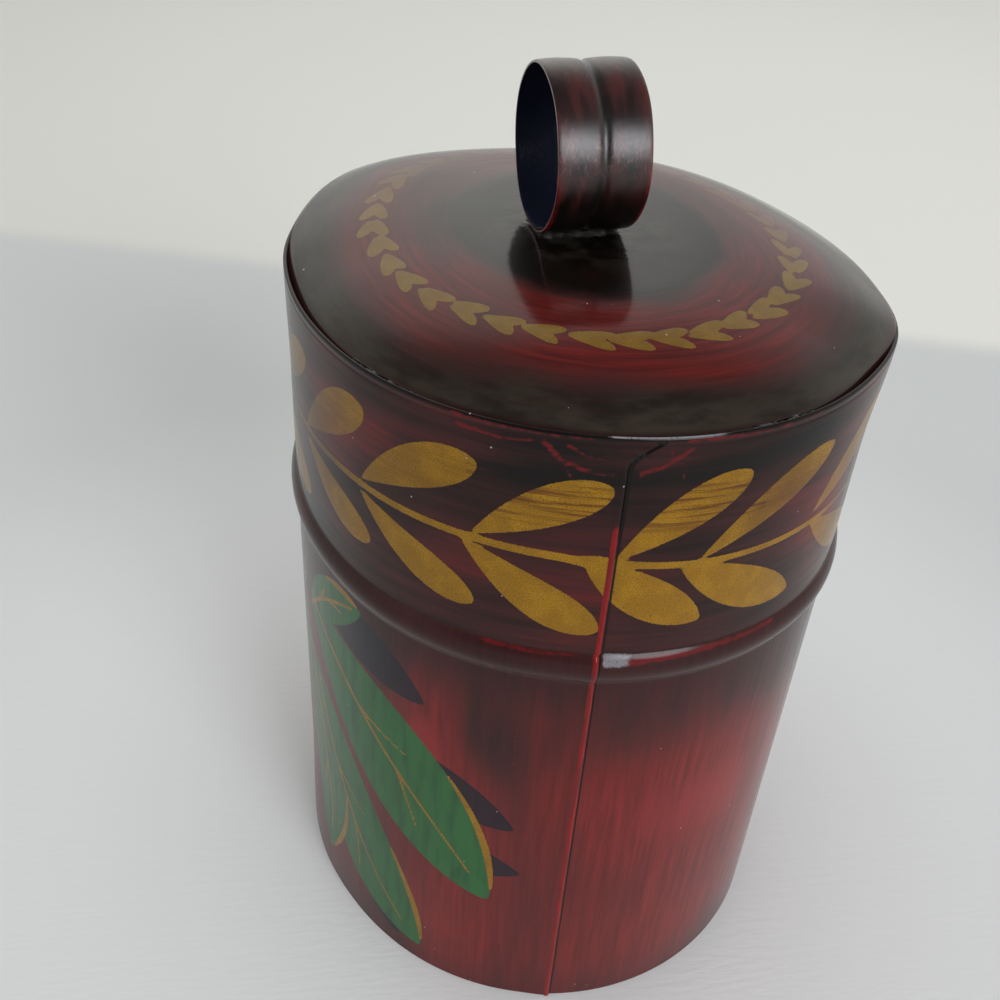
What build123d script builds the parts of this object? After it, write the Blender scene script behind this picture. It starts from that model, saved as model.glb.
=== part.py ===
from build123d import *
import math
import os

# An oval tin box of painted tinplate, soldered by hand. The body is one sheet with a lapped side
# seam, a stop bead rolled round its mouth, a bottom set in with its flange down and a collar
# soldered inside the mouth. The deep lid slides over the collar and stands edge to edge on the
# body. Its domed top is held in a rolled rim, and a strip rolled to a ring is its handle.
# Millimetres, +Z up. The origin is on the standing plane, at the middle of the oval.
# X runs along the oval's length, and the side seam is near its +X end.

# The oval is four arcs: two end arcs and two flatter side arcs that meet them in tangents.
# The end arcs' centres lie this share of the difference between half length and half width
# from the middle.
tin_length = 124.0
tin_width = 109.0
end_centre_share = 4 / 3

# Heights: mouth above the standing plane, rim of the lid above the mouth, crown above the rim
mouth_height = 101.5
lid_height = 41.5
crown_rise = 6.4

# Sheet of the box, the same for every piece but the handle
sheet = 0.45

# Stop bead under the mouth
bead_reach = 1.2
bead_height = 6.5
bead_below_mouth = 0.3

# Lapped side seams of the body and of the lid: a raised edge that fades out over the sheet below
seam_bearing = -7.2
seam_slip = 0.7
ridge_width = 1.3
ridge_rise = 0.6
lap_blend = 7.0
blend_share = 0.35
shoulder_share = 0.8
foot_share = 0.3
tab_reach = 4.5
tab_drop = 3.8
tab_rise_share = 0.5

# Bottom, set in with its flange turned down
bottom_recess = 3.0

# Collar inside the mouth
collar_depth = 11.0
collar_stand = 12.0
collar_lead_height = 2.0
collar_lead_in = 0.5
collar_step_height = 0.6
lid_clearance = 0.3

# Dome of the lid: a flat crown set in from the outline, an arc that falls from it to the edge, and
# a flange inside the rolled rim
crown_inset = 36.0
rim_fall = 1.4
rim_hem = 0.4

# Solder
fillet_share = 0.36
solder_leg = 1.3
solder_film = 0.4
seam_solder_width = 3.2
seam_solder_gap = 0.1
rim_blob_leg = 0.8
rim_blob_length = 9.0
rim_blob_bearings = (-56.0, 20.0)

# Ring handle: a strip with two low crowns and a groove between them, its ends lapped at the foot
handle_radius = 14.6
handle_width = 16.3
handle_sheet = 0.55
handle_crown = 0.2
groove_width = 1.8
groove_depth = 0.5
handle_bearing = 4.5
handle_lean = 1.1
handle_shift = -2.35
tail_start = -34.0
tail_sweep = 52.0

# Solder that holds the handle
foot_spread = 13.0
foot_overrun = 1.3
foot_height = 1.5
foot_slope = 0.9
foot_slot = 5.0
foot_sink_share = 0.65

# Values worked out from the sizes above
half_length = tin_length / 2
half_width = tin_width / 2
oblong = half_length - half_width
side_centre_share = 1 + 1 / (2 * (end_centre_share - 1))
end_centre = end_centre_share * oblong
side_centre = side_centre_share * oblong
end_radius = half_length - end_centre
side_radius = half_width + side_centre
join_angle = math.degrees(math.atan(side_centre_share / end_centre_share))

rim_height = mouth_height + lid_height
crown_height = rim_height + crown_rise

bead_top = mouth_height - bead_below_mouth
bead_bottom = bead_top - bead_height
bead_middle = bead_top - bead_height / 2
bead_arc_radius = ((bead_height / 2) ** 2 + bead_reach**2) / (2 * bead_reach)
bead_arc_half = math.degrees(math.asin(bead_height / 2 / bead_arc_radius))

collar_bottom = mouth_height - collar_depth
collar_top = mouth_height + collar_stand
collar_lip = collar_top - collar_lead_height

roll_radius = 1.5 * sheet
roll_centre = rim_height - roll_radius
dome_edge = -2 * sheet
dome_edge_height = rim_height - rim_fall
dome_drop = crown_height - dome_edge_height
dome_run = crown_inset + dome_edge
dome_radius = (dome_run**2 + dome_drop**2) / (2 * dome_drop)


# Arcs of the oval: centre, radius, start angle and sweep
def oval_arcs():
    end_sweep = 2 * join_angle
    side_sweep = 180 - end_sweep
    return [
        ((end_centre, 0), end_radius, -join_angle, end_sweep),
        ((0, -side_centre), side_radius, join_angle, side_sweep),
        ((-end_centre, 0), end_radius, 180 - join_angle, end_sweep),
        ((0, side_centre), side_radius, 180 + join_angle, side_sweep),
    ]


# Flat oval, its outline moved outward by the offset
def oval_face(offset):
    arcs = [
        CenterArc(centre, radius + offset, start, sweep)
        for centre, radius, start, sweep in oval_arcs()
    ]
    return make_face(arcs)


# A closed profile in (offset from the outline, height), turned into the upright plane
def upright(edges):
    return Plane.XZ * make_face(edges)


# The profile swept round one arc of the oval
def arc_sector(profile, centre, radius, start, sweep):
    place = Pos(*centre) * Rot(0, 0, start) * Pos(radius, 0, 0)
    return revolve(place * profile, Axis((*centre, 0), (0, 0, 1)), sweep)


# The profile swept all round the oval
def oval_ring(profile):
    sectors = [arc_sector(profile, *arc) for arc in oval_arcs()]
    return sectors[0] + sectors[1:]


# The profile swept over a length of the +X end arc, middled on a bearing
def end_sector(profile, bearing, length):
    sweep = math.degrees(length / end_radius)
    return arc_sector(profile, (end_centre, 0), end_radius, bearing - sweep / 2, sweep)


# Rectangle between two offsets and two heights
def band_profile(inner, outer, low, high):
    corners = [(inner, low), (outer, low), (outer, high), (inner, high)]
    return upright(Polyline(*corners, close=True))


# Height of the dome's outer face, or of its underside with the sheet's thickness as depth
def dome_height(offset, depth=0.0):
    run = offset + crown_inset
    return crown_height - dome_radius + math.sqrt((dome_radius - depth) ** 2 - run**2)


# Arc along the dome's outer face or underside between two offsets
def dome_arc(first, last, depth=0.0):
    middle = (first + last) / 2
    points = [(offset, dome_height(offset, depth)) for offset in (first, middle, last)]
    return ThreePointArc(*points)


# Point of the seam's plan: distance along the end arc and offset from the wall's face
def seam_point(along, offset):
    angle = along / end_radius
    radius = end_radius + offset
    return (radius * math.cos(angle), radius * math.sin(angle))


# Plan section of a lapped seam: the raised edge is steep on one side and fades on the other
def ridge_section():
    bury = -sheet / 2
    edge_foot = seam_point(0, ridge_rise * foot_share)
    shoulder = seam_point(-ridge_width, ridge_rise * shoulder_share)
    crest = seam_point(-ridge_width / 2, ridge_rise)
    fade = seam_point(-(ridge_width + lap_blend) / 2, ridge_rise * blend_share)
    toe = seam_point(-lap_blend, 0)
    inner_toe = seam_point(-lap_blend, bury)
    inner_middle = seam_point(-lap_blend / 2, bury)
    inner_edge = seam_point(0, bury)
    return make_face(
        [
            ThreePointArc(edge_foot, crest, shoulder),
            ThreePointArc(shoulder, fade, toe),
            Line(toe, inner_toe),
            ThreePointArc(inner_toe, inner_middle, inner_edge),
            Line(inner_edge, edge_foot),
        ]
    )


# Upright length of the seam's raised edge
def straight_ridge(low, high):
    return extrude(Pos(0, 0, low) * ridge_section(), high - low, dir=(0, 0, 1))


# The seam's raised edge over the bead, cut off level with the mouth
def ridge_over_bead():
    turning_line = Axis((end_radius + bead_reach - bead_arc_radius, 0, bead_middle), (0, 1, 0))
    section = Pos(bead_reach, 0, bead_middle) * ridge_section()
    turned = revolve(section.rotate(turning_line, -bead_arc_half), turning_line, 2 * bead_arc_half)
    reach = end_radius + bead_reach + ridge_rise
    return turned & Pos(0, 0, mouth_height / 2) * Box(2 * reach, 2 * reach, mouth_height)


# Moves a shape made round the +X end arc's centre to the seam, slipped along the wall
def at_seam(shape, slip):
    bearing = seam_bearing + math.degrees(slip / end_radius)
    return Pos(end_centre, 0, 0) * Rot(0, 0, bearing) * shape


# Corner of the lid's lap that runs on past the seam under the rim
def lap_tab():
    top = roll_centre
    outer = ridge_rise * tab_rise_share
    sweep = math.degrees(tab_reach / end_radius)
    profile = band_profile(-sheet / 2, outer, top - tab_drop, top)
    sector = arc_sector(profile, (0, 0), end_radius, 0, sweep)
    corner = Polyline((0, top - tab_drop), (tab_reach, top), (0, top), close=True)
    face = Plane((0, 0, 0), x_dir=(0, 1, 0), z_dir=(1, 0, 0)) * make_face(corner)
    return sector & extrude(face, end_radius + ridge_rise, dir=(1, 0, 0))


# Body sheet with the stop bead and the raised edge of its side seam
def body_wall():
    outer_bead = ThreePointArc((0, bead_bottom), (bead_reach, bead_middle), (0, bead_top))
    inner_bead = ThreePointArc(
        (-sheet, bead_top), (bead_reach - sheet, bead_middle), (-sheet, bead_bottom)
    )
    profile = upright(
        [
            Line((0, 0), (0, bead_bottom)),
            outer_bead,
            Polyline((0, bead_top), (0, mouth_height), (-sheet, mouth_height), (-sheet, bead_top)),
            inner_bead,
            Polyline((-sheet, bead_bottom), (-sheet, 0), (0, 0)),
        ]
    )
    ridges = [straight_ridge(0, bead_bottom), ridge_over_bead()]
    ridges.append(straight_ridge(bead_top, mouth_height))
    return oval_ring(profile) + [at_seam(ridge, 0) for ridge in ridges]


# Bottom plate with its flange turned down inside the wall
def body_bottom():
    flange_outer = -sheet
    flange_inner = -2 * sheet
    underside = bottom_recess - sheet
    flange = oval_ring(band_profile(flange_inner, flange_outer, 0, bottom_recess))
    plate = extrude(Pos(0, 0, underside) * oval_face(flange_inner), sheet, dir=(0, 0, 1))
    return flange + plate


# Collar: soldered to the wall below the mouth, stepped in above it to clear the lid
def inner_collar():
    seat = -sheet
    stand = seat - lid_clearance
    lead = stand - collar_lead_in
    step_start = mouth_height - collar_step_height
    outer = [
        (seat, collar_bottom),
        (seat, step_start),
        (stand, mouth_height),
        (stand, collar_lip),
        (lead, collar_top),
    ]
    inner = [(offset - sheet, height) for offset, height in reversed(outer)]
    return oval_ring(upright(Polyline(*outer, *inner, close=True)))


# Triangular run of solder with a hollow face, between two legs from one corner
def fillet_edges(corner, along, up):
    foot = (corner[0] + along, corner[1])
    head = (corner[0], corner[1] + up)
    hollow = (corner[0] + along * fillet_share, corner[1] + up * fillet_share)
    return [Line(corner, foot), ThreePointArc(foot, hollow, head), Line(head, corner)]


# Solder in the corner between the wall and the bottom plate
def bottom_solder():
    return oval_ring(upright(fillet_edges((-sheet, bottom_recess), -solder_leg, solder_leg)))


# Solder under the collar's lower edge
def collar_solder():
    return oval_ring(upright(fillet_edges((-sheet, collar_bottom), -sheet, -solder_leg)))


# Film of solder along the inside of a lapped seam, just clear of the sheet's curved face
def seam_solder(low, high, slip):
    outer = -sheet - seam_solder_gap
    film = band_profile(outer - solder_film, outer, low, high)
    bearing = seam_bearing + math.degrees(slip / end_radius)
    return end_sector(film, bearing, seam_solder_width)


# Lid sheet: straight band, its top edge rolled inward over the dome's flange
def lid_band():
    rolled_in = -2 * roll_radius
    slot_inner = -2 * sheet
    slot_top = roll_centre + sheet / 2
    hem_foot = roll_centre - rim_hem
    profile = upright(
        [
            Line((0, mouth_height), (0, roll_centre)),
            ThreePointArc((0, roll_centre), (-roll_radius, rim_height), (rolled_in, roll_centre)),
            Polyline(
                (rolled_in, roll_centre),
                (rolled_in, hem_foot),
                (slot_inner, hem_foot),
                (slot_inner, roll_centre),
            ),
            ThreePointArc((slot_inner, roll_centre), (-roll_radius, slot_top), (-sheet, roll_centre)),
            Polyline((-sheet, roll_centre), (-sheet, mouth_height), (0, mouth_height)),
        ]
    )
    ridge = straight_ridge(mouth_height, roll_centre) + lap_tab()
    return oval_ring(profile) + at_seam(ridge, seam_slip)


# Dome: flat crown, falling arc and the flange that stands inside the rolled rim
def lid_dome():
    flange_outer = -sheet
    crown_face = -crown_inset
    profile = upright(
        [
            dome_arc(crown_face, dome_edge),
            Polyline(
                (dome_edge, dome_edge_height),
                (dome_edge, roll_centre),
                (flange_outer, roll_centre),
                (flange_outer, dome_height(flange_outer, sheet)),
            ),
            dome_arc(flange_outer, crown_face, sheet),
            Line((crown_face, crown_height - sheet), (crown_face, crown_height)),
        ]
    )
    crown = extrude(Pos(0, 0, crown_height - sheet) * oval_face(crown_face), sheet, dir=(0, 0, 1))
    return oval_ring(profile) + crown


# Solder under the dome's edge, and two lumps outside that show in the corner of the rolled rim
def lid_rim_solder():
    under = dome_height(-sheet, sheet)
    inner_toe = -sheet - solder_leg
    inside = upright(
        [
            dome_arc(-sheet, inner_toe, sheet),
            Line((inner_toe, dome_height(inner_toe, sheet)), (-sheet, under - solder_leg)),
            Line((-sheet, under - solder_leg), (-sheet, under)),
        ]
    )
    rolled_in = -2 * roll_radius
    toe = rolled_in - rim_blob_leg
    foot = dome_height(rolled_in)
    outside = upright(
        [
            dome_arc(toe, rolled_in),
            Line((rolled_in, foot), (rolled_in, foot + rim_blob_leg)),
            Line((rolled_in, foot + rim_blob_leg), (toe, dome_height(toe))),
        ]
    )
    blobs = [end_sector(outside, bearing, rim_blob_length) for bearing in rim_blob_bearings]
    return [oval_ring(inside), *blobs]


# Where the crowns of the leaning ring touch the dome
def handle_place():
    lean = math.radians(handle_lean)
    crown_line = (handle_width + groove_width) / 4
    lift = handle_radius * math.cos(lean) + crown_line * math.sin(lean)
    turn = Rot(0, 0, handle_bearing) * Rot(handle_lean, 0, 0)
    return Pos(0, handle_shift, crown_height + lift) * turn


# Line of the strip's section, one sheet further in for each step of depth
def strip_line(depth):
    edge = handle_width / 2
    lip = groove_width / 2
    crown = (edge + lip) / 2
    low = handle_radius - handle_crown - depth
    high = handle_radius - depth
    return [
        ThreePointArc((low, -edge), (high, -crown), (low, -lip)),
        ThreePointArc((low, -lip), (low - groove_depth, 0), (low, lip)),
        ThreePointArc((low, lip), (high, crown), (low, edge)),
    ]


# Section of the strip between two depths, in (distance from the ring's axis, along the axis)
def strip_section(outer_depth, inner_depth):
    edge = handle_width / 2
    outer = handle_radius - handle_crown - outer_depth
    inner = handle_radius - handle_crown - inner_depth
    ends = [Line((outer, side), (inner, side)) for side in (-edge, edge)]
    return make_face(strip_line(outer_depth) + strip_line(inner_depth) + ends)


# The strip rolled to a ring, with its tail lapped inside at the foot
def ring_handle():
    ring = revolve(strip_section(0, handle_sheet), Axis.Y, 360)
    tail_section = Rot(0, 90 + tail_start, 0) * strip_section(handle_sheet, 2 * handle_sheet)
    tail = revolve(tail_section, Axis.Y, tail_sweep)
    return handle_place() * (ring + tail)


# Everything inside the ring's outer face, to cut its seat
def handle_envelope():
    edge = handle_width / 2
    low = handle_radius - handle_crown
    rim = Polyline((low, edge), (0, edge), (0, -edge), (low, -edge))
    return handle_place() * revolve(make_face([*strip_line(0), rim]), Axis.Y, 360)


# Solder piled against both sides of the handle's foot
def handle_solder(dome):
    length = handle_width + 2 * foot_overrun
    base = crown_height - sheet * foot_sink_share
    low = Pos(0, 0, base) * RectangleRounded(foot_spread, length, foot_overrun)
    top_spread = foot_spread - 2 * foot_slope
    top_length = length - 2 * foot_slope
    top_round = foot_overrun / 2
    high = Pos(0, 0, crown_height + foot_height)
    pad = loft([low, high * RectangleRounded(top_spread, top_length, top_round)])
    slot = Box(foot_slot, handle_width, 2 * foot_height)
    place = Pos(0, handle_shift, 0) * Rot(0, 0, handle_bearing)
    slotted = place * (pad - Pos(0, 0, crown_height) * slot)
    return slotted - handle_envelope() - dome


def all_parts():
    dome = lid_dome()
    seam_foot = bottom_recess + solder_leg
    lid_seam_top = dome_height(-sheet, sheet) - solder_leg
    return {
        "body_wall": body_wall(),
        "body_bottom": body_bottom(),
        "inner_collar": inner_collar(),
        "bottom_solder": bottom_solder(),
        "collar_solder": collar_solder(),
        "side_seam_solder": seam_solder(seam_foot, collar_bottom - solder_leg, 0),
        "lid_band": lid_band(),
        "lid_dome": dome,
        "lid_rim_solder": lid_rim_solder(),
        "lid_seam_solder": seam_solder(collar_top, lid_seam_top, seam_slip),
        "ring_handle": ring_handle(),
        "handle_solder": handle_solder(dome),
    }


# Solids of a shape, or of a list of shapes, as one group
def solids_of(shape):
    shapes = shape if isinstance(shape, list) else [shape]
    return [solid for each in shapes for solid in each.solids()]


os.makedirs("parts", exist_ok=True)
for node, shape in all_parts().items():
    export_step(Compound(children=solids_of(shape)), f"parts/{node}.step")
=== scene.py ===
import math

import bmesh
import bpy
import numpy as np
from mathutils import Matrix, Vector, noise


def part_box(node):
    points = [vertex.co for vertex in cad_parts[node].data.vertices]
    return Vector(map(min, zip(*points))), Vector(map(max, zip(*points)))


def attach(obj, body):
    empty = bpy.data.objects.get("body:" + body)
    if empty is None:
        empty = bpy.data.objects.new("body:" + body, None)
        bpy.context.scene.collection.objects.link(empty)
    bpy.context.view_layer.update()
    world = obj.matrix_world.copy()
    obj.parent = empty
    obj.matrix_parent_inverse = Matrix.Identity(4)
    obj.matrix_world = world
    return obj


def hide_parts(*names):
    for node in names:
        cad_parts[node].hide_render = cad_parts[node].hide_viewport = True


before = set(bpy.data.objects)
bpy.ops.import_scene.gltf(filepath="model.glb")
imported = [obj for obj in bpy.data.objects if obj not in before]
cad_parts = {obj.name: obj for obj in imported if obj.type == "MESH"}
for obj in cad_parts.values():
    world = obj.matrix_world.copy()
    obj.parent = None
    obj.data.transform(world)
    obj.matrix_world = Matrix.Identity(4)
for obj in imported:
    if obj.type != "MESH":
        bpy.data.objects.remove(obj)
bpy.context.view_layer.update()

# Looks of the oval tin box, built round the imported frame. Sizes below are in millimetres, in the
# frame's own axes, and become metres when a mesh is made. Places on the walls are given as u, the
# length along the outline from the body's seam towards +Y, and z, the height.
MM = 0.001


# Corners of a CAD node in millimetres
def box_mm(node):
    return [np.array(corner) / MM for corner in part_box(node)]


wall_low, _ = box_mm("body_wall")
band_low, band_high = box_mm("lid_band")
dome_low, dome_high = box_mm("lid_dome")

# Sizes read from the frame
HALF_LENGTH = -band_low[0]
HALF_WIDTH = band_high[1]
SHEET = HALF_LENGTH + dome_low[0]
BEAD_REACH = -wall_low[0] - HALF_LENGTH
MOUTH = band_low[2]
RIM = band_high[2]
CROWN = dome_high[2]

# The oval's four arcs, as shares of the difference between half length and half width
END_CENTRE_SHARE = 4 / 3
SIDE_CENTRE_SHARE = 5 / 2
OBLONG = HALF_LENGTH - HALF_WIDTH
END_CENTRE = END_CENTRE_SHARE * OBLONG
SIDE_CENTRE = SIDE_CENTRE_SHARE * OBLONG
END_RADIUS = HALF_LENGTH - END_CENTRE
SIDE_RADIUS = HALF_WIDTH + SIDE_CENTRE
JOIN = math.atan(SIDE_CENTRE_SHARE / END_CENTRE_SHARE)
END_ARC = 2 * JOIN * END_RADIUS
SIDE_ARC = (math.pi - 2 * JOIN) * SIDE_RADIUS
AROUND = 2 * (END_ARC + SIDE_ARC)

# Bead under the mouth
BEAD_HEIGHT = 6.5
BEAD_TOP = MOUTH - 0.3
BEAD_FOOT = BEAD_TOP - BEAD_HEIGHT
BEAD_MIDDLE = BEAD_TOP - BEAD_HEIGHT / 2
BEAD_ARC = ((BEAD_HEIGHT / 2) ** 2 + BEAD_REACH**2) / (2 * BEAD_REACH)

# Lapped seams
SEAM_BEARING = math.radians(-7.2)
SEAM_SLIP = 0.7
RIDGE_WIDTH = 1.3
RIDGE_RISE = 0.6
RIDGE_SHOULDER = 0.34
LAP_BLEND = 7.0
TAB_DROP = 3.8
TAB_REACH = 4.2

# Folded rim, and the dome that rises inside it
FOLD = 0.36
FOLD_CENTRE = RIM - FOLD
FOLD_DEPTH = 2.2
CREASE_BELOW = 1.2
CREASE_DEPTH = 0.10
CREASE_WIDTH = 0.25
DOME_EDGE = -0.74
CROWN_INSET = 36.0
DOME_FALL = 1.4
DOME_DROP = CROWN - RIM + DOME_FALL
DOME_RUN = CROWN_INSET - 2 * SHEET
DOME_ARC = (DOME_RUN**2 + DOME_DROP**2) / (2 * DOME_DROP)
FRONT_LIFT = 0.45
BACK_LIFT = 1.35
BACK_EDGE = -0.08
BACK_CURL = 0.3
BACK_SINK = 0.5
LAP_START = -2.4
GROOVE_START = -2.3
GROOVE_FALL = 1.1

# Waves of hand-worked sheet: size, depth and place in the noise for each piece
BODY_WAVES = (26.0, 0.10, 3.0)
BAND_WAVES = (22.0, 0.10, 11.0)
DOME_WAVES = (24.0, 0.07, 21.0)

# Hand-worked unevenness of the rim and the foot: bearing, spread and amount of each bulge and rise,
# and the heights between which the lid's and the foot's come in
RIM_BULGES = [(60, 13, 1.4), (-134, 22, 1.5), (-98, 12, 0.4)]
RIM_RISES = [(-138, 26, 1.5), (108, 26, -0.6)]
FOOT_BULGES = [(-72, 18, 0.9)]
LID_BULGE_HEIGHTS = (124.0, 142.0)
FOOT_BULGE_HEIGHTS = (26.0, 2.0)
FRONT_FADES = ((62, 38), (-112, -78))

# Ring handle
RING_RADIUS = 14.6
RING_WIDTH = 16.3
RING_SHEET = 0.55
RING_CROWN = 0.2
GROOVE_WIDTH = 1.8
GROOVE_DEPTH = 0.36
RING_BEARING = math.radians(4.5)
RING_LEAN = math.radians(1.1)
RING_SHIFT = -2.35
RING_CROWN_LINE = (RING_WIDTH + GROOVE_WIDTH) / 4
RING_LIFT = RING_RADIUS * math.cos(RING_LEAN) + RING_CROWN_LINE * math.sin(RING_LEAN)
TAIL_START = math.radians(56)
TAIL_SWEEP = math.radians(52)

# The photograph's camera: bearing, height and roll, place in metres, lens and sensor
CAMERA_AZIMUTH = math.radians(78.497)
CAMERA_ELEVATION = math.radians(35.737)
CAMERA_ROLL = math.radians(3.979)
CAMERA_PLACE = (0.18719, -0.05039, 0.22566)
CAMERA_LENS = 39.6
CAMERA_SENSOR = 36.0

# Value of a paint layer where no paint shows
NO_PAINT = -3.0

random = np.random.default_rng(7)


# Places on the oval: point and outward normal at each length u
def outline(u):
    start = (np.asarray(u, float) + (JOIN + SEAM_BEARING) * END_RADIUS) % AROUND
    point = np.zeros((len(start), 2))
    normal = np.zeros((len(start), 2))
    passed = 0.0
    for turn in (0, math.pi):
        for x, y, radius, first, length in (
            (END_CENTRE, 0, END_RADIUS, -JOIN, END_ARC),
            (0, -SIDE_CENTRE, SIDE_RADIUS, JOIN, SIDE_ARC),
        ):
            here = (start >= passed) & (start <= passed + length)
            angle = turn + first + (start[here] - passed) / radius
            normal[here] = np.stack([np.cos(angle), np.sin(angle)], -1)
            point[here] = np.array((x, y)) * (-1 if turn else 1) + radius * normal[here]
            passed += length
    return point, normal


# Smooth step from 0 to 1 between two values
def smooth(value, low, high):
    share = np.clip((value - low) / (high - low), 0, 1)
    return share * share * (3 - 2 * share)


# Slow unevenness of hand-worked sheet, in millimetres, the same on both faces
def unevenness(points, size, depth, seed):
    shift = Vector((seed, 0, 0))
    values = [noise.noise(Vector(p) / size + shift) for p in points.reshape(-1, 3)]
    return depth * np.array(values).reshape(points.shape[:-1])


# Height of the raised edge of a lapped seam at length u from its step
def ridge_height(u):
    rise = np.zeros_like(u)
    on = (u > -RIDGE_WIDTH) & (u <= 0)
    half = RIDGE_WIDTH / 2
    bow = np.sqrt(np.clip(1 - ((u[on] + half) / half) ** 2, 0, 1))
    rise[on] = np.maximum(RIDGE_RISE * bow, RIDGE_SHOULDER * smooth(-u[on], 0, RIDGE_WIDTH))
    blend = (u <= -RIDGE_WIDTH) & (u > -LAP_BLEND)
    fade = (u[blend] + LAP_BLEND) / (LAP_BLEND - RIDGE_WIDTH)
    rise[blend] = RIDGE_SHOULDER * fade**1.6
    return rise


# Reach of the bead at a height
def bead_reach(z):
    inside = np.clip(BEAD_ARC**2 - (z - BEAD_MIDDLE) ** 2, 0, None)
    return np.clip(np.sqrt(inside) - (BEAD_ARC - BEAD_REACH), 0, None)


# Bearing of points in degrees
def bearing_of(points):
    return np.degrees(np.arctan2(points[..., 1], points[..., 0]))


# Sum of soft bumps round the box, each given by its bearing and spread in degrees and its amount
def round_bumps(bearing, bumps):
    total = np.zeros_like(bearing)
    for middle, spread, amount in bumps:
        turn = (bearing - middle + 180) % 360 - 180
        total += amount * np.exp(-((turn / spread) ** 2))
    return total


# Moves points of the lid's top and of the body's foot by their bulges and rises
def uneven(points, share_top, share_foot=0.0):
    bearing = bearing_of(points)
    reach = np.maximum(np.hypot(points[..., 0], points[..., 1]), 1e-6)
    push = share_top * round_bumps(bearing, RIM_BULGES) + share_foot * round_bumps(bearing, FOOT_BULGES)
    points[..., :2] *= (1 + push / reach)[..., None]
    points[..., 2] += share_top * round_bumps(bearing, RIM_RISES)
    return points


# Share of the front, where the dome ends in a groove inside the fold and doesn't lap over it
def front_share(plan):
    left, right = FRONT_FADES
    return smooth(bearing_of(plan), *left) * smooth(bearing_of(plan), *right)


# Height of the dome's face at an offset from the outline
def dome_height(offset, depth=0.0):
    run = np.clip(offset + CROWN_INSET, 0, None)
    return CROWN - DOME_ARC + np.sqrt((DOME_ARC - depth) ** 2 - run**2)


# Mesh of a grid of points whose rows, or columns, or both close into rings. A strip is open along its
# columns, and its two ends are capped. The rows named second get material 1, the rest material 0.
# The UV map "flat" holds lengths in millimetres.
def grid_mesh(name, points, across, down, second_rows=(), close_rows=True, strip=False):
    rows, columns = points.shape[:2]
    last_row = rows if close_rows else rows - 1
    last_column = columns - 1 if strip else columns
    row = np.arange(last_row)[:, None]
    column = np.arange(last_column)[None, :]
    below, ahead = (row + 1) % rows, (column + 1) % columns
    spots = [(row, column), (row, ahead), (below, ahead), (below, column)]
    faces = np.stack([r * columns + c for r, c in spots], -1).reshape(-1, 4).tolist()
    sides = across[:-1][None], across[1:][None]
    ends = down[:last_row, None], np.roll(down, -1)[:last_row, None]
    left, right, low, high = np.broadcast_arrays(*sides, *ends)
    corners = np.stack([left, low, right, low, right, high, left, high], -1).ravel().tolist()
    second = np.isin(np.arange(last_row), list(second_rows)).astype(np.int32)
    marks = np.repeat(second, last_column)
    for end in (0, columns - 1) if strip else ():
        for k in range(rows // 2 - 1):
            faces.append([place * columns + end for place in (k, k + 1, rows - 2 - k, rows - 1 - k)])
            corners += [across[end], down[k], across[end], down[k + 1]] * 2
    marks = np.append(marks, np.full(len(faces) - len(marks), second[0], np.int32))
    mesh = bpy.data.meshes.new(name)
    mesh.from_pydata((points.reshape(-1, 3) * MM).tolist(), [], faces)
    flat = mesh.uv_layers.new(name="flat")
    flat.data.foreach_set("uv", np.array(corners, np.float32))
    mesh.polygons.foreach_set("material_index", marks)
    return mesh


# One mesh made of several
def joined_mesh(name, meshes):
    work = bmesh.new()
    for mesh in meshes:
        work.from_mesh(mesh)
    return written_mesh(work, name)


# New mesh from an edited one
def written_mesh(work, name):
    mesh = bpy.data.meshes.new(name)
    work.to_mesh(mesh)
    work.free()
    return mesh


# Adds an object that holds the given data to the scene
def add_object(name, data):
    added = bpy.data.objects.new(name, data)
    bpy.context.scene.collection.objects.link(added)
    return added


# Turns the faces outward, smooths them and makes the object
def finish_piece(mesh, body, replaced, materials, sharp=40.0):
    work = bmesh.new()
    work.from_mesh(mesh)
    bmesh.ops.recalc_face_normals(work, faces=work.faces)
    work.to_mesh(mesh)
    work.free()
    for material in materials:
        mesh.materials.append(material)
    mesh.shade_smooth()
    mesh.set_sharp_from_angle(angle=math.radians(sharp))
    piece = add_object(mesh.name, mesh)
    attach(piece, body)
    if replaced:
        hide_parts(*replaced)


# Keeps values for each vertex under names that the materials read, and one value where not shown
def vertex_values(mesh, shown, hidden, **layers):
    for name, values in layers.items():
        layer = mesh.attributes.new(name, "FLOAT", "POINT")
        layer.data.foreach_set("value", np.where(shown, values, hidden).astype(np.float32).ravel())


# Forms of painted leaves: how fast the base widens, and how the tip rounds off
VINE_FORM = (0.85, 2.2, 0.6)
PLUMP_FORM = (0.75, 1.5, 0.75)
WREATH_FORM = (0.55, 2.0, 0.55)
LANCE_FORM = (0.8, 1.0, 0.8)


# Midline of a bent leaf at shares t of its length, and the direction across it
def leaf_spine(base, tip, bend, t):
    base, tip = np.array(base, float), np.array(tip, float)
    along = tip - base
    side = np.array([-along[1], along[0]]) / np.hypot(*along)
    return base + along * t[:, None] + side * (bend * 4 * t * (1 - t))[:, None], side


# Outline of a painted leaf: pointed at its base, and bent to one side
def leaf_outline(base, tip, half_width, bend, form, steps=28):
    root, power, taper = form
    t = (1 - np.cos(np.linspace(0, math.pi, steps))) / 2
    spine, side = leaf_spine(base, tip, bend, t)
    width = t**root * np.clip(1 - t**power, 0, 1) ** taper
    width *= half_width / width.max()
    upper = spine + side * width[:, None]
    lower = spine - side * width[:, None]
    return np.concatenate([upper, lower[::-1]])


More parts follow.
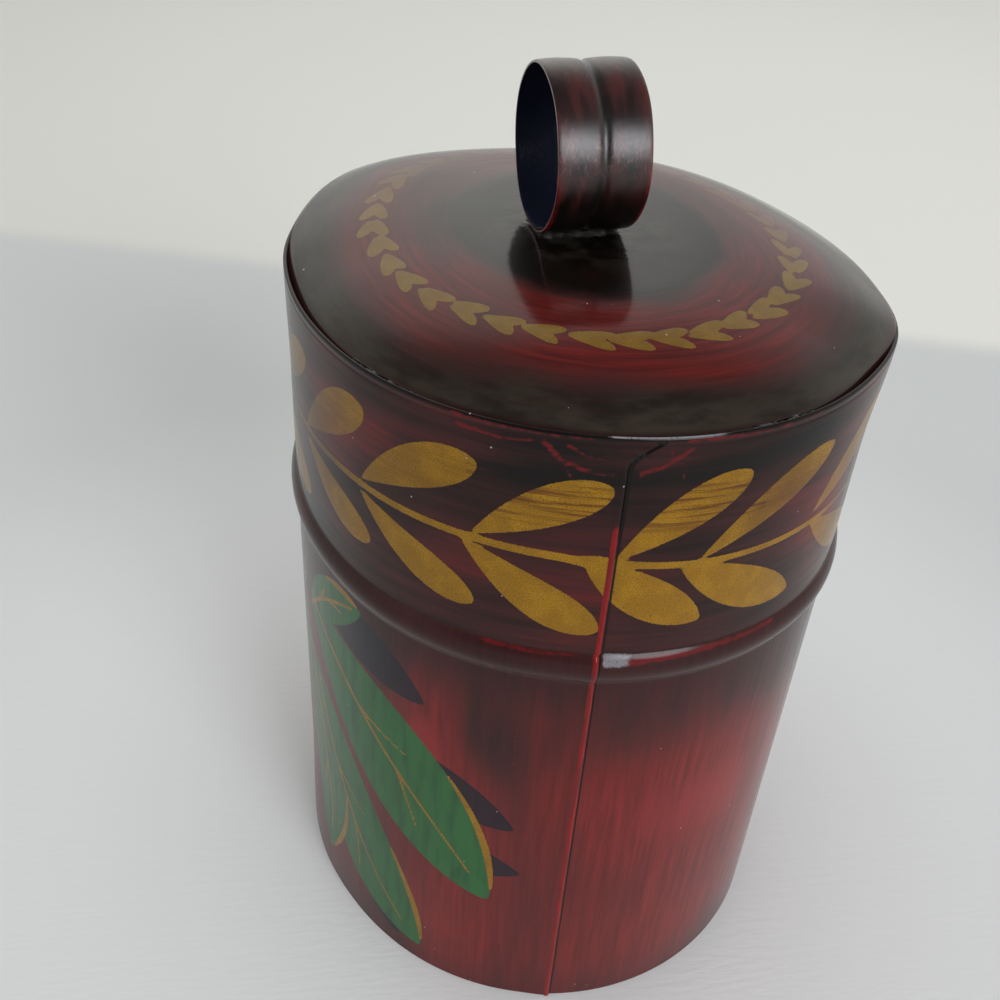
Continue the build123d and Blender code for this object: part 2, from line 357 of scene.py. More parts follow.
# Outline of a stroke whose width changes along a line of points
def stroke_outline(points, widths):
    ahead = np.gradient(points, axis=0)
    side = np.stack([-ahead[:, 1], ahead[:, 0]], -1) / np.hypot(*ahead.T)[:, None]
    half = widths[:, None] / 2
    return np.concatenate([points + side * half, (points - side * half)[::-1]])


# Brush stroke along a smooth line through a few points, from its first to its last width
def brush_stroke(first, last, points, steps=40):
    points = np.array(points, float)
    knots = np.linspace(0, 1, len(points))
    fine = np.linspace(0, 1, steps)
    line = np.stack([np.interp(fine, knots, points[:, k]) for k in (0, 1)], -1)
    for _ in range(3):
        line[1:-1] = (line[:-2] + 2 * line[1:-1] + line[2:]) / 4
    return stroke_outline(line, np.linspace(first, last, steps))


# Signed distance, in millimetres, from each place to the nearest painted shape: above 0 inside
def paint_distance(places, shapes, reach=3.0):
    result = np.full(len(places), -reach)
    for start in shapes:
        near = np.all((places > start.min(0) - reach) & (places < start.max(0) + reach), 1)
        end = np.roll(start, -1, 0)
        edge = end - start
        here = places[near][:, None]
        gap = here - start
        share = np.clip((gap * edge).sum(2) / np.maximum((edge**2).sum(1), 1e-9), 0, 1)
        away = np.hypot(*(gap - share[..., None] * edge).transpose(2, 0, 1)).min(1)
        rise = np.where(np.abs(edge[:, 1]) < 1e-9, 1e-9, edge[:, 1])
        cross = start[:, 0] + gap[..., 1] / rise * edge[:, 0]
        crossed = (here[..., 1] > start[:, 1]) != (here[..., 1] > end[:, 1])
        inside = (crossed & (here[..., 0] < cross)).sum(1) % 2 == 1
        result[near] = np.maximum(result[near], np.where(inside, away, -away))
    return result


# Signed distance to ragged brush marks, each given by its first and last width and its line
def scuff_distance(places, marks):
    distance = paint_distance(places, [brush_stroke(*mark) for mark in marks], 1.5)
    return np.clip(distance * 1.2, -1.5, 0.6)


# Sum of soft spots, each given by its place, its two reaches and its strength
def soft_spots(places, spots):
    total = np.zeros(len(places))
    for u, z, reach_u, reach_z, strength in spots:
        away = ((places[:, 0] - u) / reach_u) ** 2 + ((places[:, 1] - z) / reach_z) ** 2
        total += strength * np.exp(-away)
    return total


# Share of a seam's raised edge at length u from its step
def ridge_share(u):
    return smooth(u, -RIDGE_WIDTH + 0.05, -RIDGE_WIDTH + 0.45) * smooth(u, 0.0, -0.15)


# Writes the nodes of a material or of the world as sums. Its places are those of the UV map "flat" or
# of the texture coordinate named. A name given as a value stands for the vertex value of that name.
class Paint:
    def __init__(self, name, places="flat", world=False):
        self.owner = (bpy.data.worlds if world else bpy.data.materials).new(name)
        self.owner.use_nodes = True
        self.tree = self.owner.node_tree
        self.tree.nodes.clear()
        self.shader = self.node("Background" if world else "BsdfPrincipled")
        output = self.node("OutputWorld" if world else "OutputMaterial")
        self.put(output.inputs["Surface"], self.shader.outputs[0])
        self.places = self.at(places)

    def at(self, places):
        if places == "flat":
            return self.node("UVMap", uv_map=places).outputs[0]
        return self.node("TexCoord").outputs[places]

    def put(self, socket, value):
        if isinstance(value, str):
            value = self.node("Attribute", attribute_name=value).outputs["Fac"]
        if isinstance(value, bpy.types.NodeSocket):
            self.tree.links.new(value, socket)
        else:
            socket.default_value = value

    def node(self, kind, inputs=(), **settings):
        node = self.tree.nodes.new("ShaderNode" + kind)
        for name, value in settings.items():
            setattr(node, name, value)
        for name, value in dict(inputs).items():
            self.put(node.inputs[name], value)
        return node

    def set(self, **values):
        for name, value in values.items():
            self.put(self.shader.inputs[name.replace("_", " ")], value)

    def math(self, kind, *values):
        inputs = enumerate(values + (0.0,) * (3 - len(values)))
        return self.node("Math", inputs, operation=kind).outputs[0]

    def add(self, total, *terms):
        for term in terms:
            total = self.math("ADD", total, term)
        return total

    def times(self, first, second):
        return self.math("MULTIPLY", first, second)

    # Spreads a value from 0 to 1 evenly round 0, to the width given
    def spread(self, value, width):
        return self.math("MULTIPLY_ADD", value, width, -width / 2)

    def split(self, vector):
        return self.node("SeparateXYZ", {0: vector}).outputs

    # Noise; the scale is one number, or one for each axis, and then the place in it can be shifted
    def noise(self, scale, detail=2.0, rough=0.5, shift=(0, 0, 0), places=None):
        vector = places or self.places
        if isinstance(scale, tuple):
            inputs = {"Vector": vector, "Scale": scale, "Location": shift}
            vector, scale = self.node("Mapping", inputs).outputs[0], 1.0
        inputs = {"Vector": vector, "Scale": scale, "Detail": detail, "Roughness": rough}
        return self.node("TexNoise", inputs).outputs["Fac"]

    def dots(self, scale):
        node = self.node("TexVoronoi", {"Vector": self.places, "Scale": scale})
        return node.outputs["Distance"], node.outputs["Color"]

    def step(self, value, low, high, out_low=0.0, out_high=1.0):
        inputs = {"Value": value, "From Min": low, "From Max": high, "To Min": out_low, "To Max": out_high}
        return self.node("MapRange", inputs, interpolation_type="SMOOTHSTEP").outputs[0]

    def mix(self, share, first, second):
        return self.node("Mix", {0: share, 6: first, 7: second}, data_type="RGBA").outputs[2]

    def blend(self, share, first, second):
        return self.node("Mix", {0: share, 2: first, 3: second}, data_type="FLOAT").outputs[0]

    def dot(self, direction):
        inputs = {0: self.places, 1: direction}
        return self.node("VectorMath", inputs, operation="DOT_PRODUCT").outputs["Value"]

    def bump(self, height, distance, strength=1.0, normal=None):
        inputs = {"Height": height, "Distance": distance, "Strength": strength}
        if normal is not None:
            inputs["Normal"] = normal
        return self.node("Bump", inputs).outputs[0]


# Colours, as linear light
CRIMSON = (0.222, 0.0165, 0.0155, 1)
DEEP_RED = (0.104, 0.009, 0.008, 1)
RIDGE_RED = (0.23, 0.006, 0.007, 1)
SCUFF_RED = (0.135, 0.007, 0.008, 1)
RING_EDGE_RED = (0.17, 0.008, 0.008, 1)
# Dark red of the rim's solder lumps, also the painted shade in the dome's groove
GROOVE_RED = (0.022, 0.003, 0.003, 1)
DOME_REDS = ((0.050, 0.006, 0.005, 1), (0.135, 0.010, 0.008, 1))
DOME_BORDER = (0.031, 0.025, 0.0165, 1)
DOME_SMUDGE = (0.045, 0.042, 0.032, 1)
GLAZE = (0.005, 0.003, 0.0025, 1)
PLUM = (0.046, 0.011, 0.010, 1)
# Black of the painted shadow beside the seams' steps
CRACK = (0.006, 0.002, 0.002, 1)
GOLDS = ((0.16, 0.068, 0.005, 1), (0.36, 0.190, 0.007, 1))
WREATH_GOLDS = ((0.105, 0.056, 0.006, 1), (0.225, 0.132, 0.013, 1))
GOLD_THIN = (0.10, 0.030, 0.005, 1)
LEAF_GREENS = ((0.017, 0.060, 0.026, 1), (0.026, 0.118, 0.032, 1))
SHADOW_LEAF = (0.009, 0.007, 0.013, 1)
INDIGOS = ((0.007, 0.011, 0.027, 1), (0.011, 0.011, 0.019, 1))
# Pink of rubbed paint, also used as a painted highlight on the ring
WORN_PINK = (0.15, 0.066, 0.070, 1)
PALE_SPECK = (0.40, 0.38, 0.36, 1)
# Silver of bare metal, also used as a painted highlight
BARE_SILVER = (0.21, 0.20, 0.215, 1)
TIN = (0.52, 0.50, 0.46, 1)
TIN_DULL = (0.24, 0.22, 0.19, 1)
SOLDER_GREY = (0.085, 0.080, 0.070, 1)
SOLDER_DARK = (0.020, 0.018, 0.014, 1)
CLOTHS = ((0.60, 0.622, 0.618, 1), (0.635, 0.655, 0.648, 1))
# Lighter cloth round the box, painted light that lifts the box's shadow
CLOTH_BRIGHT = (0.765, 0.78, 0.78, 1)
TABLES = ((0.65, 0.648, 0.60, 1), (0.82, 0.82, 0.772, 1))

# Roughness and index of the varnish on walls and dome, and on the ring
VARNISH = (0.12, 1.37)
RING_VARNISH = (0.15, 1.65)

# Streaks of the glaze brush, coarse, fine and hair lines: width, length, detail and roughness of
# the noise, and its shift, and then how strongly each breaks up the glaze
STREAKS = [
    (3.2, 38, 3.0, 0.55, (0, 0, 0)),
    (0.9, 24, 2.0, 0.6, (3, 5, 0)),
    (0.28, 14, 1.0, 0.5, (7, 1, 0)),
]
STREAK_STRENGTHS = (1.10, 0.36, 0.16)


# Streaks left by the glaze brush along one direction
def brush_streaks(paint, along_z, coarseness=1.0):
    streaks = []
    for width, length, detail, rough, shift in STREAKS:
        across, along = 1 / (width * coarseness), 1 / length
        scale = (across, along, 1) if along_z else (along, across, 1)
        streaks.append(paint.noise(scale, detail, rough, shift))
    return streaks


# Red paint under a dark glaze. The share of glaze is the zone's, broken up by the streaks.
def glazed_red(paint, zone, streaks, contrast, reds=(DEEP_RED, CRIMSON)):
    strengths = [strength * contrast for strength in STREAK_STRENGTHS]
    coverage = paint.add(zone, *[paint.spread(*pair) for pair in zip(streaks, strengths)])
    red = paint.mix(paint.step(streaks[1], 0.22, 0.88), *reds)
    red = paint.mix(paint.step(coverage, 0.0, -0.45), red, reds[1])
    thin = paint.mix(paint.step(coverage, 0.10, 0.72), red, PLUM)
    return paint.mix(paint.step(coverage, 0.45, 1.15), thin, GLAZE)


# Gold paint laid over the ground inside the leaves, thin along some brush lines
def gold_over(paint, ground, tip_shade, faded=0.0, golds=GOLDS):
    ragged = paint.noise(2.4, 3.0, 0.6)
    edge = paint.add("gold_leaf", paint.spread(ragged, 0.36))
    covered = paint.step(edge, -0.05, 0.07)
    grain = paint.noise(4.2, 3.0, 0.75)
    body = paint.noise(0.22, 2.0, 0.5)
    streak = paint.noise((0.05, 1.1, 1), 4.0, 0.62)
    thin = paint.times(paint.step(streak, 0.47, 0.60), tip_shade)
    gold = paint.mix(paint.step(grain, 0.34, 0.58), *golds)
    gold = paint.mix(paint.step(body, 0.66, 0.40, 0.0, 0.35), gold, golds[0])
    gold = paint.mix(paint.times(thin, 0.85), gold, GOLD_THIN)
    pits, _ = paint.dots(0.9)
    gold = paint.mix(paint.times(paint.step(pits, 0.12, 0.06), 0.7), gold, GLAZE)
    gold = paint.mix(faded, gold, ground)
    return paint.mix(covered, ground, gold), covered


# Ragged red brush marks
def scuffed(paint, colour):
    ragged = paint.noise((0.5, 0.9, 1), 4.0, 0.7)
    marked = paint.add(paint.spread(ragged, 1.6), "scuff")
    return paint.mix(paint.step(marked, -0.05, 0.45, 0.0, 0.85), colour, SCUFF_RED)


# Seam: the raised edge is rubbed through to red, and the step beside it gets a painted shadow
def seam_colour(paint, colour):
    wear = paint.noise((0.9, 0.12, 1), 3.0, 0.6)
    rubbed = paint.add("ridge", paint.spread(wear, 0.4))
    red = paint.mix(paint.step(wear, 0.25, 0.6), DEEP_RED, RIDGE_RED)
    colour = paint.mix(paint.step(rubbed, 0.25, 0.55), colour, red)
    return paint.mix(paint.step("crack", -0.08, 0.10), colour, CRACK)


# Speckled silver: bare metal where the paint is worn off, and a painted highlight on the bead and along the
# rim's fold
def bare_metal(paint, colour):
    grain = paint.noise(2.6, 3.0, 0.7)
    silver = paint.mix(paint.step(grain, 0.30, 0.46), SOLDER_DARK, BARE_SILVER)
    ragged = paint.spread(paint.noise(1.1, 2.0, 0.6), 0.8)
    worn = paint.step(paint.add("bare_patch", ragged), 0.2, 0.8)
    return paint.mix(worn, colour, silver)


# Small pale nicks and dust specks, few and sharp
def specks(paint, colour, scale):
    distance, tint = paint.dots(scale)
    near = paint.math("LESS_THAN", distance, 0.045)
    few = paint.math("GREATER_THAN", paint.split(tint)[0], 0.86)
    return paint.mix(paint.times(near, few), colour, PALE_SPECK)


# Fine relief of brushed varnish, and the rougher relief of the paint beneath it
def brushed_relief(paint, streaks, covered):
    height = paint.math("MULTIPLY_ADD", streaks[2], 0.5, streaks[1])
    height = paint.math("MULTIPLY_ADD", covered, 1.2, height)
    return paint.bump(height, 0.00004), paint.bump(height, 0.000012)


# Varnish over paint: the settings that all painted sheet shares
def varnish(paint, colour, rough, reliefs, weight=0.62, coat=VARNISH):
    paint.set(Base_Color=colour, Roughness=rough, Specular_IOR_Level=0.05, Normal=reliefs[0])
    paint.set(Coat_Weight=weight, Coat_Roughness=coat[0], Coat_IOR=coat[1], Coat_Normal=reliefs[1])
    return paint.owner


# Body: upright streaks, dark under the bead and in smoky patches, red between
def body_material():
    paint = Paint("painted_body")
    z = paint.split(paint.places)[1]
    coarse, fine, hair = brush_streaks(paint, True, 1.5)
    calm = paint.blend(paint.step(z, 90.0, 96.0, 0.5, 0.0), 0.5, coarse)
    patches = paint.noise((0.030, 0.018, 1), 1.0, 0.5, (0.4, 0.2, 0))
    zone = paint.add("tone", paint.step(z, 62.0, 92.0, 0.32, 0.72))
    zone = paint.add(zone, paint.spread(patches, 0.5), paint.step(z, 16.0, -2.0, 0.0, 0.2))
    colour = glazed_red(paint, zone, (calm, fine, hair), 0.8)
    shade = paint.step("shadow_leaf", -0.1, 0.1, 0.0, 0.93)
    colour = paint.mix(shade, colour, SHADOW_LEAF)
    wash = paint.noise((0.5, 0.07, 1), 2.0, 0.5)
    green = paint.mix(paint.step(wash, 0.12, 0.62), *LEAF_GREENS)
    colour = paint.mix(paint.step("green_leaf", -0.09, 0.09), colour, green)
    colour, covered = gold_over(paint, colour, 0.2)
    colour = bare_metal(paint, seam_colour(paint, colour))
    colour = specks(paint, scuffed(paint, colour), 0.35)
    return varnish(paint, colour, 0.42, brushed_relief(paint, (coarse, fine, hair), covered))


# Lid band: streaks run round it, plum and dark, with the gold vine
def band_material():
    paint = Paint("painted_band")
    streaks = brush_streaks(paint, False)
    patches = paint.noise((0.034, 0.06, 1), 1.0, 0.5, (1.7, 0.6, 0))
    zone = paint.add("tone", paint.math("MULTIPLY_ADD", patches, 0.7, 0.37))
    zone = paint.add(zone, paint.step(paint.split(paint.places)[1], RIM - 0.60, RIM - 0.36, 0.0, 0.4))
    colour = scuffed(paint, glazed_red(paint, zone, streaks, 0.8))
    colour, covered = gold_over(paint, colour, "tip_shade", "faded")
    colour = bare_metal(paint, seam_colour(paint, colour))
    colour = specks(paint, colour, 0.30)
    return varnish(paint, colour, 0.42, brushed_relief(paint, streaks, covered))


# Dome: black crown, a red zone that holds the wreath, a dark border, and painted shade near its outline
def dome_material():
    paint = Paint("painted_dome")
    streaks = brush_streaks(paint, False, 1.2)
    drift = paint.noise((0.020, 0.05, 1), 2.0, 0.5, (2.2, 0, 0))
    inward = paint.add("inset", paint.spread(drift, 10.0))
    crown = paint.step(inward, 27.0, 36.0, 0.12, 1.30)
    zone = paint.add(crown, paint.step(inward, 15.0, 5.0), "tone")
    colour = glazed_red(paint, zone, streaks, 0.7, DOME_REDS)
    mottle = paint.noise((0.07, 0.22, 1), 4.0, 0.62)
    clouded = paint.times(paint.step(mottle, 0.36, 0.60, 0.35, 0.95), paint.step(inward, 13.0, 3.0))
    colour = paint.mix(clouded, colour, DOME_BORDER)
    # Painted shade: darker red within a few millimetres of the outline, in the groove inside the fold
    colour = paint.mix(paint.step("inset", 2.6, 1.3), colour, GROOVE_RED)
    colour, covered = gold_over(paint, colour, 0.15, "faded", WREATH_GOLDS)
    smudge = paint.noise(170.0, 4.0, 0.6, places=paint.at("Object"))
    near_foot = paint.step("centre_distance", 24.0, 8.0, 0.0, 0.62)
    colour = paint.mix(paint.times(near_foot, paint.step(smudge, 0.42, 0.70)), colour, DOME_SMUDGE)
    colour = specks(paint, colour, 0.22)
    relief, coat_relief = brushed_relief(paint, streaks, covered)
    lumpy = paint.bump(paint.times(near_foot, smudge), 0.0004, normal=coat_relief)
    return varnish(paint, colour, 0.40, (relief, lumpy), 0.85)


# Outside of the ring: charcoal and plum with red streaks round it, painted shade low down and in its
# groove, and pink wear that is partly a painted highlight
def ring_material():
    paint = Paint("painted_ring")
    streaks = brush_streaks(paint, False)
    blotch = paint.noise((0.10, 0.36, 1), 2.0, 0.5)
    # Painted shade: the ring's zone is darker at its bottom and in its groove
    zone = paint.add("dark_zone", paint.math("MULTIPLY_ADD", blotch, 1.6, 0.0))
    colour = glazed_red(paint, zone, streaks, 0.4, DOME_REDS)
    rubbed = paint.noise((0.25, 0.8, 1), 3.0, 0.7)
    edge = paint.times("edge", paint.step(rubbed, 0.3, 0.6))
    colour = paint.mix(edge, colour, RING_EDGE_RED)
    grit = paint.noise((0.5, 1.5, 1), 5.0, 0.8)
    # Pink speckles of wear, partly a painted highlight, in a band round the ring's middle
    worn = paint.times("worn", paint.step(grit, 0.50, 0.64, 0.0, 0.7))
    colour = paint.mix(worn, colour, WORN_PINK)
    height = paint.noise((2.6, 5.2, 2.6), 4.0, 0.75)
    reliefs = paint.bump(height, 0.00012), paint.bump(height, 0.00005)
    return varnish(paint, colour, 0.38, reliefs, 1.0, RING_VARNISH)


# Inside of the ring: plain dark indigo
def indigo_material():
    paint = Paint("ring_inside")
    colour = paint.mix(paint.noise(0.3, 3.0, 0.6), *INDIGOS)
    height = paint.noise(1.2, 3.0, 0.6)
    reliefs = paint.bump(height, 0.0001), paint.bump(height, 0.00005)
    return varnish(paint, colour, 0.45, reliefs, 0.35)


# Bare tinplate, dulled, with fine rolling marks and darker patches
def tin_material():
    paint = Paint("bare_tin", "Object")
    patches = paint.noise(60.0, 3.0, 0.6)
    colour = paint.mix(paint.step(patches, 0.35, 0.7), TIN, TIN_DULL)
    rough = paint.blend(paint.step(patches, 0.3, 0.7), 0.30, 0.52)
    marks = paint.bump(paint.noise((500, 500, 4000), 2.0, 0.5), 0.00002, 0.6)
    paint.set(Base_Color=colour, Metallic=1.0, Roughness=rough, Normal=marks)
    return paint.owner


# Grey solder, lumpy and dull
def solder_material(name, deep, pale, coat=0.0):
    paint = Paint(name, "Object")
    lumps = paint.noise(900.0, 3.0, 0.6)
    stain = paint.noise(420.0, 2.0, 0.5)
    colour = paint.mix(paint.step(stain, 0.40, 0.62), deep, pale)
    paint.set(Base_Color=colour, Metallic=paint.step(lumps, 0.3, 0.6, 0.2, 0.7))
    paint.set(Roughness=paint.blend(lumps, 0.45, 0.75), Normal=paint.bump(lumps, 0.0002, 0.6))
    paint.set(Coat_Weight=coat, Coat_Roughness=0.15)
    return paint.owner


# Vine on the lid band: base and tip of each leaf in (u, z), half its width, and its bend
VINE_STEM = 120.8
VINE_PITCH = 21.9
VINE_LENGTH = 22.5
VINE_SPREAD = 14.0
VINE_FEET = ((1, 121.4), (-1, 119.6))
SEEN_LEAVES = [
    ((-65.5, 121.8), (-44.2, 135.8), 4.0, 0.8, VINE_FORM),
    ((-66.0, 119.6), (-42.8, 110.4), 3.5, -0.8, VINE_FORM),
    ((-45.0, 122.4), (-22.2, 135.2), 3.9, 1.2, VINE_FORM),
    ((-45.6, 120.2), (-21.5, 108.0), 3.5, -0.6, VINE_FORM),
    ((-22.6, 122.0), (-1.4, 134.2), 3.7, 1.0, VINE_FORM),
    ((-24.6, 121.0), (-1.0, 106.4), 3.9, -0.8, VINE_FORM),
    ((0.2, 120.8), (20.3, 135.6), 3.6, 0.9, VINE_FORM),
    ((-4.4, 120.4), (16.2, 107.2), 4.1, -0.4, PLUMP_FORM),
    ((14.0, 119.9), (38.6, 135.2), 3.2, 1.1, VINE_FORM),
    ((11.0, 119.2), (35.6, 106.4), 4.1, -0.6, PLUMP_FORM),
]
STEM_LEFT = [(-90, 121.2), (-66, 121.0), (-45, 121.3), (-22, 121.2), (-8, 120.9), (-3, 120.0)]
STEM_RIGHT = [(-6, 120.6), (-2, 121.2), (3, 120.0), (12, 119.4), (24, 119.3), (42, 119.6), (60, 120.6)]
UNSEEN_LEAVES = (37.5, AROUND - 66.0)
UNSEEN_STEM = (58, AROUND - 88)


# All leaves and stems of the vine, the unseen side going on as the seen side does
def vine_shapes():
    shapes = [leaf_outline(*row) for row in SEEN_LEAVES]
    first, last = UNSEEN_LEAVES
    count = round((last - first) / VINE_PITCH)
    pitch = (last - first) / count
    for k in range(count):
        base = first + k * pitch
        for side, z in VINE_FEET:
            jitter = random.normal(0, 0.6, 4)
            tip = (base + VINE_LENGTH + jitter[0], VINE_STEM + side * (VINE_SPREAD + jitter[1]))
            shapes.append(leaf_outline((base, z), tip, 3.8 + 0.3 * jitter[2], side * 0.9, VINE_FORM))
    shapes += [brush_stroke(1.0, 1.7, STEM_LEFT), brush_stroke(1.6, 1.0, STEM_RIGHT)]
    rest = np.linspace(*UNSEEN_STEM, 60)
    wave = VINE_STEM + 0.5 * np.sin(rest / 17)
    shapes.append(stroke_outline(np.stack([rest, wave], -1), np.full(len(rest), 1.1)))
    return shapes


# Shapes near the ends of the unrolled wall, repeated one turn away
def wrapped(shapes):
    turn = np.array([AROUND, 0])
    return shapes + [s - turn for s in shapes if s[:, 0].max() > AROUND / 2]


# Where each stretch of a wall's columns starts, and its step: finer over the painting, finest over
# the seam
BODY_STOPS = ((-AROUND / 2, 1.4), (-115, 0.55), (-9, 0.14), (1.2, 0.9), (45, 1.4))
BAND_STOPS = ((-AROUND / 2, 0.8), (-9, 0.16), (5.5, 0.8))


# Columns of a wall, from seam side to seam side round its back
def wall_columns(stops):
    ends = [start for start, _ in stops[1:]] + [AROUND / 2]
    parts = []
    for (start, step), end in zip(stops, ends):
        parts.append(np.linspace(start, end, round((end - start) / step) + 1)[:-1])
    return np.concatenate(parts + [[AROUND / 2]])


# Points of a wall from its columns and, for each row and column, an offset and a height
def wall_points(columns, offsets, heights):
    point, normal = outline(columns)
    points = np.zeros(offsets.shape + (3,))
    points[..., :2] = point[None] + offsets[..., None] * normal[None]
    points[..., 2] = heights
    return points


# Points of a wall whose sheet waves by the share given, and is dented
def wavy_wall(columns, offsets, heights, waves, share, dent=0.0):
    wave = unevenness(wall_points(columns, offsets, heights), *waves)
    return wall_points(columns, offsets + wave * share - dent, heights)


# Places (u, z) of a wall's vertices, and which of them are on its painted face
def wall_places(columns, heights, painted_rows):
    places = np.stack([np.broadcast_to(columns, heights.shape), heights], -1).reshape(-1, 2)
    return places, np.repeat(np.arange(len(heights)) < painted_rows, len(columns))


# Body wall: outer face with the bead and the seam's raised edge, and a plain inner face
def make_body_wall(materials):
    columns = wall_columns(BODY_STOPS)
    ring = columns[:-1]
    wall, bead = np.linspace(0.5, BEAD_FOOT - 0.4, 165), np.linspace(BEAD_FOOT, BEAD_TOP, 26)
    outer_z = np.concatenate([[0.0, 0.12], wall, bead, [MOUTH - 0.1, MOUTH]])
    inner_bead = np.linspace(BEAD_TOP - 0.3, BEAD_FOOT, 8)
    inner_z = np.concatenate([[MOUTH, BEAD_TOP], inner_bead, np.linspace(90, 0, 6)])
    rounding = 0.12 * smooth(outer_z, 0.12, 0.0) + 0.1 * smooth(outer_z, MOUTH - 0.1, MOUTH)
    outer = (bead_reach(outer_z) - rounding)[:, None] + ridge_height(ring)[None]
    inner = np.repeat((bead_reach(inner_z) - SHEET)[:, None], len(ring), 1)
    z = np.concatenate([outer_z, inner_z])
    heights = np.repeat(z[:, None], len(ring), 1)
    dent = 0.06 * smooth(bead_reach(heights), 0.2, 0.9)
    offsets = np.concatenate([outer, inner])
    points = wavy_wall(ring, offsets, heights, BODY_WAVES, smooth(heights, 0, 12), dent)
    points = uneven(points, 0.0, smooth(heights, *FOOT_BULGE_HEIGHTS))
    mesh = grid_mesh("body_shell", points, columns, z, range(len(outer_z) - 1, len(z)))
    body_paint(mesh, *wall_places(ring, heights, len(outer_z)))
    finish_piece(mesh, "body", ["body_wall"], materials)


# Spray on the body's left front: long leaves fan from a stem, in (u, z), with a vein down each
BODY_GREEN = [
    ((-70, 80), (-15, 31), 13.0, 6.0),
    ((-68, 62), (-30, 5), 12.0, -3.0),
    ((-70, 76), (-46, 92), 5.0, 2.0),
    ((-74, 66), (-62, 8), 10.0, 4.0),
    ((-76, 70), (-102, 22), 10.0, -4.0),
    ((-74, 78), (-108, 84), 7.5, 3.0),
]
BODY_SHADOW = [
    ((-46, 64), (-11, 54), 5.6, 2.5),
    ((-42, 52), (-9, 41), 5.2, -2.0),
    ((-62, 86), (-30, 80), 5.6, 2.4),
    ((-58, 30), (-36, 4), 5.4, 2.0),
    ((-88, 62), (-118, 52), 6.0, 2.0),
    ((-86, 82), (-112, 94), 5.0, -1.5),
]
BODY_SIDE_VEINS = ((0.34, 1), (0.54, -1))

# Darker and redder spots of the body, and its red brush marks
BODY_TONES = [
    (-17, 76, 6, 14, 0.28),
    (-30, 68, 6, 13, -0.95),
    (-20, 50, 5, 18, -0.30),
    (-25, 16, 7, 14, -0.55),
    (-6, 72, 8, 14, -0.10),
    (30, 56, 17, 16, -0.60),
    (10, 58, 8, 12, -0.28),
    (12, 26, 4, 26, 0.12),
    (-8, 40, 7, 26, 0.05),
    (26, 22, 16, 16, -0.26),
    (-16, 86, 14, 8, -0.25),
]
BODY_SCUFFS = [
    (1.5, 0.7, [(4.6, 99.9), (12.0, 100.2), (22.0, 100.5), (34.0, 100.6)]),
    (0.5, 0.5, [(-30.0, 94.9), (-18.0, 95.2), (-5.0, 95.0)]),
    (0.9, 0.5, [(-20.0, 101.0), (-12.0, 100.8), (-3.0, 101.0)]),
    (0.4, 0.4, [(-19.0, 96.6), (-17.4, 95.8), (-16.2, 96.5)]),
    (0.6, 0.3, [(-12.0, 86.0), (-12.4, 78.0), (-12.2, 70.0)]),
]


# Gold lines of one leaf: its midrib, thin side veins and a thicker stroke along its lower edge
def leaf_veins(base, tip, half_width, bend):
    spine, side = leaf_spine(base, tip, bend, np.linspace(0.04, 0.90, 26))
    veins = [stroke_outline(spine, np.linspace(1.0, 0.6, len(spine)))]
    along = np.array(tip, float) - np.array(base, float)
    for share, turn in BODY_SIDE_VEINS:
        foot = leaf_spine(base, tip, bend, np.array([share]))[0][0]
        head = foot + along * 0.17 + side * turn * half_width * 0.5
        veins.append(brush_stroke(0.75, 0.5, [foot, (foot + head) / 2, head]))
    edge = leaf_outline(base, tip, half_width, bend, LANCE_FORM, 40)
    stretch = edge[22:36] if tip[0] > base[0] else edge[44:58]
    swell = 0.5 + 1.1 * np.sin(np.linspace(0.1, math.pi - 0.1, len(stretch)))
    return veins + [stroke_outline(stretch, swell)]


# Paint layers of the body
def body_paint(mesh, places, outside):
    u, z = places.T
    green = [leaf_outline(*row, LANCE_FORM) for row in BODY_GREEN]
    shadow = [leaf_outline(*row, LANCE_FORM) for row in BODY_SHADOW]
    veins = [vein for row in BODY_GREEN for vein in leaf_veins(*row)]
    distances = {
        "green_leaf": paint_distance(places, green),
        "shadow_leaf": paint_distance(places, shadow),
        "gold_leaf": paint_distance(places, veins),
        "scuff": scuff_distance(places, BODY_SCUFFS),
        # Painted shadow: a dark line along the step beside the seam's raised edge
        "crack": 0.17 - np.abs(u - 0.16),
        # Silver patch on the bead beside the seam: bare metal, partly a painted highlight
        "bare_patch": smooth(u, 0.3, 1.0) * smooth(u, 6.6, 3.4) * smooth(np.abs(z - 100.2), 1.6, 0.5),
    }
    vertex_values(mesh, outside, NO_PAINT, **distances)
    vertex_values(mesh, outside, 0, ridge=ridge_share(u))
    vertex_values(mesh, True, 0, tone=soft_spots(places, BODY_TONES))


# Line of the lid's open lap: along the seam, then aslant to the rim
def crack_place(z):
    slant = np.clip((z - (RIM - TAB_DROP - 1)) / TAB_DROP, 0, 1)
    return SEAM_SLIP * 0.3 + slant**1.6 * TAB_REACH


# Offset added to the band's face by its lap, whose edge stands up less above the vine's stem
def band_lap(ring, heights):
    local = ring[None] - crack_place(heights)
    low_share = smooth(heights, 129.0, 123.0)
    lap = ridge_height(local) * (0.30 + 0.60 * low_share) * smooth(heights, RIM - 0.5, RIM - 1.6)
    slit = np.exp(-(((local - 0.25) / 0.22) ** 2)) * (0.10 + 0.2 * (1 - low_share))
    return lap - slit * smooth(heights, RIM - 0.5, RIM - 1.3)


